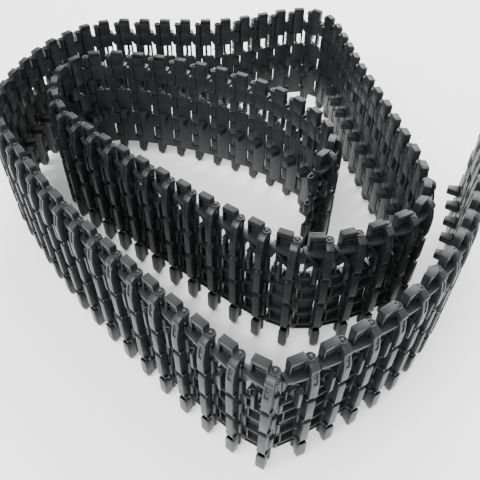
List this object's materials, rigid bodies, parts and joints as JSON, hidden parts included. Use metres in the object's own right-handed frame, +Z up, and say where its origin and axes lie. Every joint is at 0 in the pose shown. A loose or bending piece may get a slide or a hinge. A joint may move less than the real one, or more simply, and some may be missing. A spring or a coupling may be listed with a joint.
{
  "type": "tracked vehicle track length",
  "caption": "Length of plastic tank track, coiled on its edge: hinged links with sprocket windows, guide horns and grouser bars, joined by pins.",
  "frame": {"origin": "centre of the coil's bounding box, on the surface it stands on", "axes": "+Z up along the hinge pins and across the track; +X to the right and +Y away from the side where the outer turn's corner faces the viewer"},
  "size_m": [0.1634, 0.1771, 0.045],
  "materials": {
    "link_plastic": "black moulded plastic with a soft satin sheen, slightly worn on the grouser faces",
    "pin_plastic": "smooth black plastic pin with a faint shine"
  },
  "bodies": {
    "link_001": {"link_001": "link_plastic", "pin_001": "pin_plastic"},
    "link_002": {"link_002": "link_plastic", "pin_002": "pin_plastic"},
    "link_003": {"link_003": "link_plastic", "pin_003": "pin_plastic"},
    "links_004_005": {"links_004_005": "link_plastic"},
    "links_006_007": {"links_006_007": "link_plastic"},
    "links_008_009": {"links_008_009": "link_plastic"},
    "links_010_011": {"links_010_011": "link_plastic"},
    "links_012_013": {"links_012_013": "link_plastic"},
    "links_014_015": {"links_014_015": "link_plastic"},
    "links_016_017": {"links_016_017": "link_plastic"},
    "links_018_019": {"links_018_019": "link_plastic"},
    "links_020_021": {"links_020_021": "link_plastic"},
    "links_022_023": {"links_022_023": "link_plastic"},
    "links_024_025": {"links_024_025": "link_plastic"},
    "links_026_027": {"links_026_027": "link_plastic"},
    "links_028_029": {"links_028_029": "link_plastic"},
    "links_030_031": {"links_030_031": "link_plastic"},
    "links_032_033": {"links_032_033": "link_plastic"},
    "links_034_035": {"links_034_035": "link_plastic"},
    "links_036_037": {"links_036_037": "link_plastic"},
    "links_038_039": {"links_038_039": "link_plastic"},
    "links_040_041": {"links_040_041": "link_plastic"},
    "links_042_043": {"links_042_043": "link_plastic"},
    "links_044_045": {"links_044_045": "link_plastic"},
    "links_046_047": {"links_046_047": "link_plastic"},
    "links_048_049": {"links_048_049": "link_plastic"},
    "links_050_051": {"links_050_051": "link_plastic"},
    "links_052_053": {"links_052_053": "link_plastic"},
    "links_054_055": {"links_054_055": "link_plastic"},
    "links_056_057": {"links_056_057": "link_plastic"},
    "links_058_059": {"links_058_059": "link_plastic"},
    "links_060_061": {"links_060_061": "link_plastic"},
    "links_062_063": {"links_062_063": "link_plastic"},
    "links_064_065": {"links_064_065": "link_plastic"},
    "links_066_067": {"links_066_067": "link_plastic"},
    "links_068_069": {"links_068_069": "link_plastic"},
    "links_070_071": {"links_070_071": "link_plastic"},
    "links_072_073": {"links_072_073": "link_plastic"},
    "links_074_075": {"links_074_075": "link_plastic"},
    "links_076_077": {"links_076_077": "link_plastic"},
    "links_078_079": {"links_078_079": "link_plastic"},
    "links_080_081": {"links_080_081": "link_plastic"},
    "links_082_083": {"links_082_083": "link_plastic"},
    "links_084_085": {"links_084_085": "link_plastic"},
    "links_086_087": {"links_086_087": "link_plastic"},
    "links_088_089": {"links_088_089": "link_plastic"},
    "links_090_091": {"links_090_091": "link_plastic"},
    "links_092_093": {"links_092_093": "link_plastic"},
    "links_094_095": {"links_094_095": "link_plastic"},
    "links_096_097": {"links_096_097": "link_plastic"},
    "link_098": {"link_098": "link_plastic", "pin_098": "pin_plastic"},
    "link_099": {"link_099": "link_plastic", "pin_099": "pin_plastic"},
    "link_100": {"link_100": "link_plastic", "pin_100": "pin_plastic"}
  },
  "joints": [
    {"name": "hinge_002", "type": "hinge", "parent": "link_002", "child": "link_001", "pos_m": [0.07658, -0.0066, 0.0225], "axis": [0, 0, -1], "range_deg": [-30, 24.9]},
    {"name": "hinge_003", "type": "hinge", "parent": "link_003", "child": "link_002", "pos_m": [0.07409, -0.01434, 0.0225], "axis": [0, 0, -1], "range_deg": [-30, 25]},
    {"name": "hinge_004", "type": "hinge", "parent": "links_004_005", "child": "link_003", "pos_m": [0.07125, -0.02196, 0.0225], "axis": [0, 0, -1], "range_deg": [-25, 25]},
    {"name": "hinge_006", "type": "hinge", "parent": "links_006_007", "child": "links_004_005", "pos_m": [0.06425, -0.03663, 0.0225], "axis": [0, 0, -1], "range_deg": [0, 7.2]},
    {"name": "hinge_008", "type": "hinge", "parent": "links_008_009", "child": "links_006_007", "pos_m": [0.05548, -0.05031, 0.0225], "axis": [0, 0, -1], "range_deg": [0, 8.5]},
    {"name": "hinge_010", "type": "hinge", "parent": "links_010_011", "child": "links_008_009", "pos_m": [0.0448, -0.06255, 0.0225], "axis": [0, 0, -1], "range_deg": [0, 9.9]},
    {"name": "hinge_012", "type": "hinge", "parent": "links_012_013", "child": "links_010_011", "pos_m": [0.03218, -0.07277, 0.0225], "axis": [0, 0, -1], "range_deg": [0, 6.9]},
    {"name": "hinge_014", "type": "hinge", "parent": "links_014_015", "child": "links_012_013", "pos_m": [0.0184, -0.0814, 0.0225], "axis": [0, 0, -1], "range_deg": [0, 30.9]},
    {"name": "hinge_016", "type": "hinge", "parent": "links_016_017", "child": "links_014_015", "pos_m": [0.00387, -0.081, 0.0225], "axis": [0, 0, -1], "range_deg": [0, 35.2]},
    {"name": "hinge_018", "type": "hinge", "parent": "links_018_019", "child": "links_016_017", "pos_m": [-0.00857, -0.07054, 0.0225], "axis": [0, 0, -1], "range_deg": [0, 4]},
    {"name": "hinge_020", "type": "hinge", "parent": "links_020_021", "child": "links_018_019", "pos_m": [-0.02041, -0.05939, 0.0225], "axis": [0, 0, -1], "range_deg": [0, 4]},
    {"name": "hinge_022", "type": "hinge", "parent": "links_022_023", "child": "links_020_021", "pos_m": [-0.03207, -0.04806, 0.0225], "axis": [0, 0, -1], "range_deg": [0, 4]},
    {"name": "hinge_024", "type": "hinge", "parent": "links_024_025", "child": "links_022_023", "pos_m": [-0.04341, -0.03641, 0.0225], "axis": [0, 0, -1], "range_deg": [0, 4]},
    {"name": "hinge_026", "type": "hinge", "parent": "links_026_027", "child": "links_024_025", "pos_m": [-0.05395, -0.02403, 0.0225], "axis": [0, 0, -1], "range_deg": [0, 4]},
    {"name": "hinge_028", "type": "hinge", "parent": "links_028_029", "child": "links_026_027", "pos_m": [-0.0637, -0.01103, 0.0225], "axis": [0, 0, -1], "range_deg": [0, 4]},
    {"name": "hinge_030", "type": "hinge", "parent": "links_030_031", "child": "links_028_029", "pos_m": [-0.07295, 0.00234, 0.0225], "axis": [0, 0, -1], "range_deg": [0, 20.3]},
    {"name": "hinge_032", "type": "hinge", "parent": "links_032_033", "child": "links_030_031", "pos_m": [-0.07694, 0.01797, 0.0225], "axis": [0, 0, -1], "range_deg": [0, 19.9]},
    {"name": "hinge_034", "type": "hinge", "parent": "links_034_035", "child": "links_032_033", "pos_m": [-0.07538, 0.03413, 0.0225], "axis": [0, 0, -1], "range_deg": [0, 12]},
    {"name": "hinge_036", "type": "hinge", "parent": "links_036_037", "child": "links_034_035", "pos_m": [-0.07049, 0.04961, 0.0225], "axis": [0, 0, -1], "range_deg": [0, 13]},
    {"name": "hinge_038", "type": "hinge", "parent": "links_038_039", "child": "links_036_037", "pos_m": [-0.0615, 0.06312, 0.0225], "axis": [0, 0, -1], "range_deg": [0, 5]},
    {"name": "hinge_040", "type": "hinge", "parent": "links_040_041", "child": "links_038_039", "pos_m": [-0.0476, 0.07099, 0.0225], "axis": [0, 0, -1], "range_deg": [0, 4]},
    {"name": "hinge_042", "type": "hinge", "parent": "links_042_043", "child": "links_040_041", "pos_m": [-0.03135, 0.07123, 0.0225], "axis": [0, 0, -1], "range_deg": [0, 4]},
    {"name": "hinge_044", "type": "hinge", "parent": "links_044_045", "child": "links_042_043", "pos_m": [-0.0151, 0.07168, 0.0225], "axis": [0, 0, -1], "range_deg": [0, 2]},
    {"name": "hinge_046", "type": "hinge", "parent": "links_046_047", "child": "links_044_045", "pos_m": [0.00084, 0.07453, 0.0225], "axis": [0, 0, -1], "range_deg": [0, 2]},
    {"name": "hinge_048", "type": "hinge", "parent": "links_048_049", "child": "links_046_047", "pos_m": [0.01568, 0.08118, 0.0225], "axis": [0, 0, -1], "range_deg": [0, 1]},
    {"name": "hinge_050", "type": "hinge", "parent": "links_050_051", "child": "links_048_049", "pos_m": [0.03135, 0.08511, 0.0225], "axis": [0, 0, -1], "range_deg": [0, 2]},
    {"name": "hinge_052", "type": "hinge", "parent": "links_050_051", "child": "links_052_053", "pos_m": [0.0405, 0.07247, 0.0225], "axis": [0, 0, 1], "range_deg": [0, 2]},
    {"name": "hinge_054", "type": "hinge", "parent": "links_052_053", "child": "links_054_055", "pos_m": [0.04322, 0.05644, 0.0225], "axis": [0, 0, 1], "range_deg": [0, 2]},
    {"name": "hinge_056", "type": "hinge", "parent": "links_054_055", "child": "links_056_057", "pos_m": [0.04547, 0.04034, 0.0225], "axis": [0, 0, 1], "range_deg": [0, 3]},
    {"name": "hinge_058", "type": "hinge", "parent": "links_056_057", "child": "links_058_059", "pos_m": [0.04852, 0.02436, 0.0225], "axis": [0, 0, 1], "range_deg": [0, 4]},
    {"name": "hinge_060", "type": "hinge", "parent": "links_058_059", "child": "links_060_061", "pos_m": [0.05146, 0.00837, 0.0225], "axis": [0, 0, 1], "range_deg": [0, 4]},
    {"name": "hinge_062", "type": "hinge", "parent": "links_060_061", "child": "links_062_063", "pos_m": [0.05422, -0.00765, 0.0225], "axis": [0, 0, 1], "range_deg": [0, 5.3]},
    {"name": "hinge_064", "type": "hinge", "parent": "links_062_063", "child": "links_064_065", "pos_m": [0.05545, -0.02383, 0.0225], "axis": [0, 0, 1], "range_deg": [0, 6]},
    {"name": "hinge_066", "type": "hinge", "parent": "links_064_065", "child": "links_066_067", "pos_m": [0.04801, -0.03784, 0.0225], "axis": [0, 0, 1], "range_deg": [0, 5]},
    {"name": "hinge_068", "type": "hinge", "parent": "links_066_067", "child": "links_068_069", "pos_m": [0.03354, -0.0452, 0.0225], "axis": [0, 0, 1], "range_deg": [0, 5]},
    {"name": "hinge_070", "type": "hinge", "parent": "links_068_069", "child": "links_070_071", "pos_m": [0.01766, -0.04802, 0.0225], "axis": [0, 0, 1], "range_deg": [0, 4]},
    {"name": "hinge_072", "type": "hinge", "parent": "links_070_071", "child": "links_072_073", "pos_m": [0.00347, -0.04027, 0.0225], "axis": [0, 0, 1], "range_deg": [0, 5]},
    {"name": "hinge_074", "type": "hinge", "parent": "links_072_073", "child": "links_074_075", "pos_m": [-0.00967, -0.0307, 0.0225], "axis": [0, 0, 1], "range_deg": [0, 4]},
    {"name": "hinge_076", "type": "hinge", "parent": "links_074_075", "child": "links_076_077", "pos_m": [-0.02235, -0.02051, 0.0225], "axis": [0, 0, 1], "range_deg": [0, 4]},
    {"name": "hinge_078", "type": "hinge", "parent": "links_076_077", "child": "links_078_079", "pos_m": [-0.03502, -0.01033, 0.0225], "axis": [0, 0, 1], "range_deg": [0, 4]},
    {"name": "hinge_080", "type": "hinge", "parent": "links_078_079", "child": "links_080_081", "pos_m": [-0.04724, 0.0004, 0.0225], "axis": [0, 0, 1], "range_deg": [0, 8.4]},
    {"name": "hinge_082", "type": "hinge", "parent": "links_080_081", "child": "links_082_083", "pos_m": [-0.0572, 0.01311, 0.0225], "axis": [0, 0, 1], "range_deg": [0, 8]},
    {"name": "hinge_084", "type": "hinge", "parent": "links_082_083", "child": "links_084_085", "pos_m": [-0.06115, 0.02879, 0.0225], "axis": [0, 0, 1], "range_deg": [0, 17.6]},
    {"name": "hinge_086", "type": "hinge", "parent": "links_084_085", "child": "links_086_087", "pos_m": [-0.0541, 0.043, 0.0225], "axis": [0, 0, 1], "range_deg": [0, 12.4]},
    {"name": "hinge_088", "type": "hinge", "parent": "links_086_087", "child": "links_088_089", "pos_m": [-0.03805, 0.04392, 0.0225], "axis": [0, 0, 1], "range_deg": [0, 11]},
    {"name": "hinge_090", "type": "hinge", "parent": "links_088_089", "child": "links_090_091", "pos_m": [-0.02217, 0.04048, 0.0225], "axis": [0, 0, 1], "range_deg": [0, 6.7]},
    {"name": "hinge_092", "type": "hinge", "parent": "links_090_091", "child": "links_092_093", "pos_m": [-0.00689, 0.03493, 0.0225], "axis": [0, 0, 1], "range_deg": [0, 6.7]},
    {"name": "hinge_094", "type": "hinge", "parent": "links_092_093", "child": "links_094_095", "pos_m": [0.00747, 0.02734, 0.0225], "axis": [0, 0, 1], "range_deg": [0, 8.5]},
    {"name": "hinge_096", "type": "hinge", "parent": "links_094_095", "child": "links_096_097", "pos_m": [0.02014, 0.01717, 0.0225], "axis": [0, 0, 1], "range_deg": [0, 14.4]},
    {"name": "hinge_098", "type": "hinge", "parent": "links_096_097", "child": "link_098", "pos_m": [0.02958, 0.00404, 0.0225], "axis": [0, 0, 1], "range_deg": [-37.9, 22]},
    {"name": "hinge_099", "type": "hinge", "parent": "link_098", "child": "link_099", "pos_m": [0.0314, -0.00388, 0.0225], "axis": [0, 0, 1], "range_deg": [-25, 22]},
    {"name": "hinge_100", "type": "hinge", "parent": "link_099", "child": "link_100", "pos_m": [0.02902, -0.01166, 0.0225], "axis": [0, 0, 1], "range_deg": [-32.7, 22]}
  ]
}
